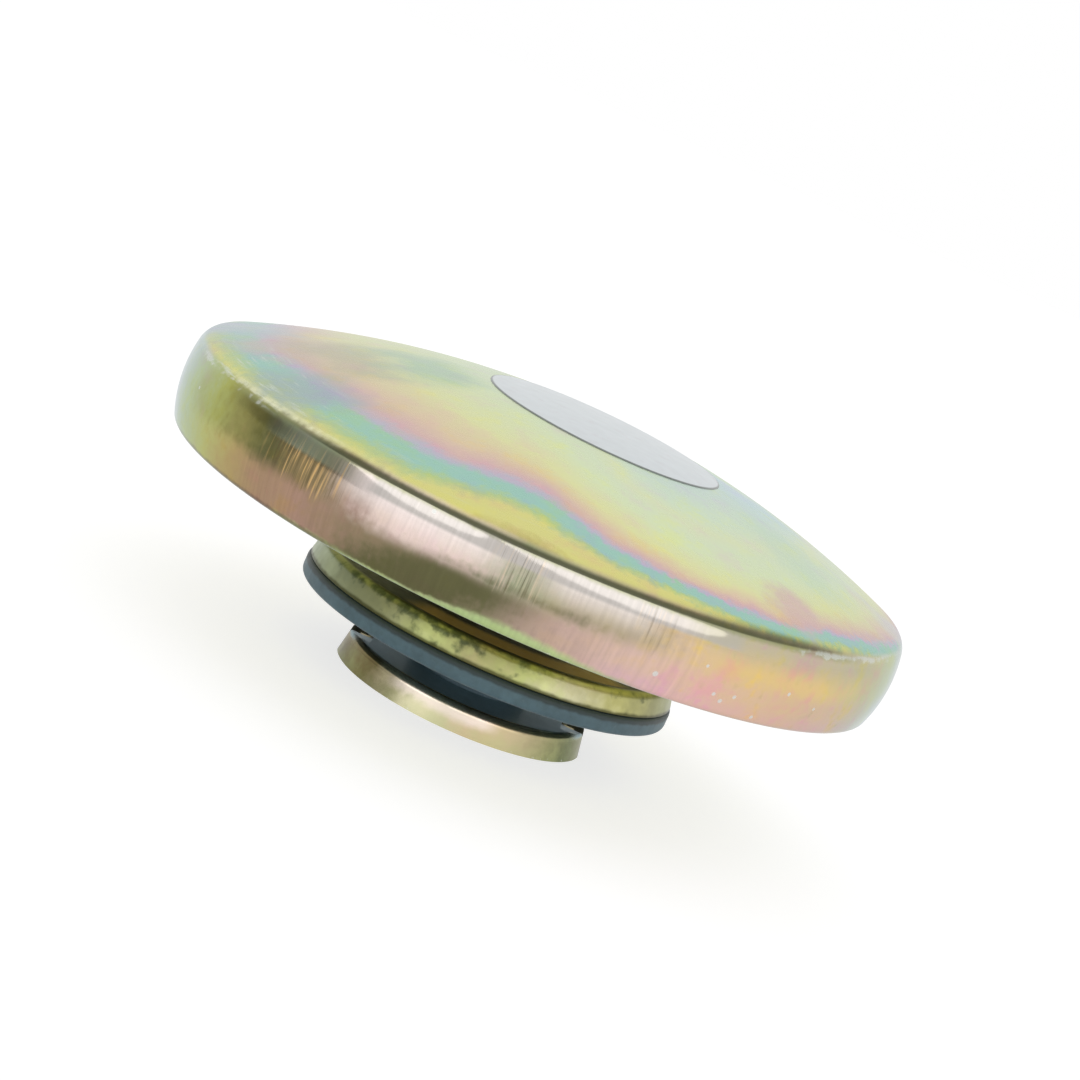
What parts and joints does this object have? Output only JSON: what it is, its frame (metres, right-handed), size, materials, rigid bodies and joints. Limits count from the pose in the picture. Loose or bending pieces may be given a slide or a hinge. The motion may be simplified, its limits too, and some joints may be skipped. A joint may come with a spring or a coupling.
{
  "type": "transfer tank cap",
  "caption": "Round domed filler cap with a bulging skirt, a sprung gasket pan, a turned-down lug plate under it and a vent valve in its hub.",
  "frame": {"origin": "centre of the lower rim of the lug plate, on which the cap stands", "axes": "+Z along the cap axis towards the dome; +X through the notches between the lugs; -Y faces the viewer of the picture"},
  "size_m": [0.092, 0.092, 0.0384],
  "materials": {
    "cover_plating": "zinc plate with yellow iridescent passivate, satin bright",
    "inner_plating": "zinc plate with yellow passivate, pressed sheet",
    "black_oxide": "black oxide, turned or pressed",
    "spring_steel": "drawn wire, lightly oiled",
    "gasket_rubber": "moulded, smooth, slate grey",
    "valve_brass": "turned",
    "label_film": "thin film, satin, bare",
    "washer_steel": "bright zinc"
  },
  "bodies": {
    "cover": {"outer_shell": "cover_plating", "label": "label_film", "carrier_plate": "inner_plating", "hub": "black_oxide", "hub_rivets": "washer_steel", "lug_plate": "inner_plating", "stake_washer": "washer_steel", "main_spring": "spring_steel", "vent_plug": "washer_steel", "pressure_spring": "spring_steel", "splash_baffle": "washer_steel"},
    "washer": {"spring_washer": "washer_steel"},
    "pan": {"gasket_pan": "inner_plating", "gasket": "gasket_rubber", "clamp_ring": "black_oxide", "guide_bush": "valve_brass"},
    "pressure_valve": {"pressure_disc": "valve_brass", "pressure_seal": "gasket_rubber", "vacuum_spring": "spring_steel"},
    "vacuum_valve": {"vacuum_valve": "valve_brass", "vacuum_face": "gasket_rubber", "stem_clip": "washer_steel"}
  },
  "joints": [
    {"name": "pan_lift", "type": "slide", "parent": "cover", "child": "washer", "axis": [0, 0, 1], "range_m": [0, 0.002], "stiffness_N_per_m": 2000, "springref_m": -0.0044, "deforming": ["main_spring"]},
    {"name": "pan_turn", "type": "hinge", "parent": "washer", "child": "pan", "pos_m": [0, 0, 0.0136], "axis": [0, 0, 1], "continuous": true},
    {"name": "pressure_relief", "type": "slide", "parent": "cover", "child": "pressure_valve", "axis": [0, 0, 1], "range_m": [0, 0.0015], "stiffness_N_per_m": 300, "springref_m": -0.002, "deforming": ["pressure_spring"]},
    {"name": "vacuum_relief", "type": "slide", "parent": "pressure_valve", "child": "vacuum_valve", "axis": [0, 0, -1], "range_m": [0, 0.001], "stiffness_N_per_m": 60, "springref_m": -0.001, "deforming": ["vacuum_spring"]}
  ]
}
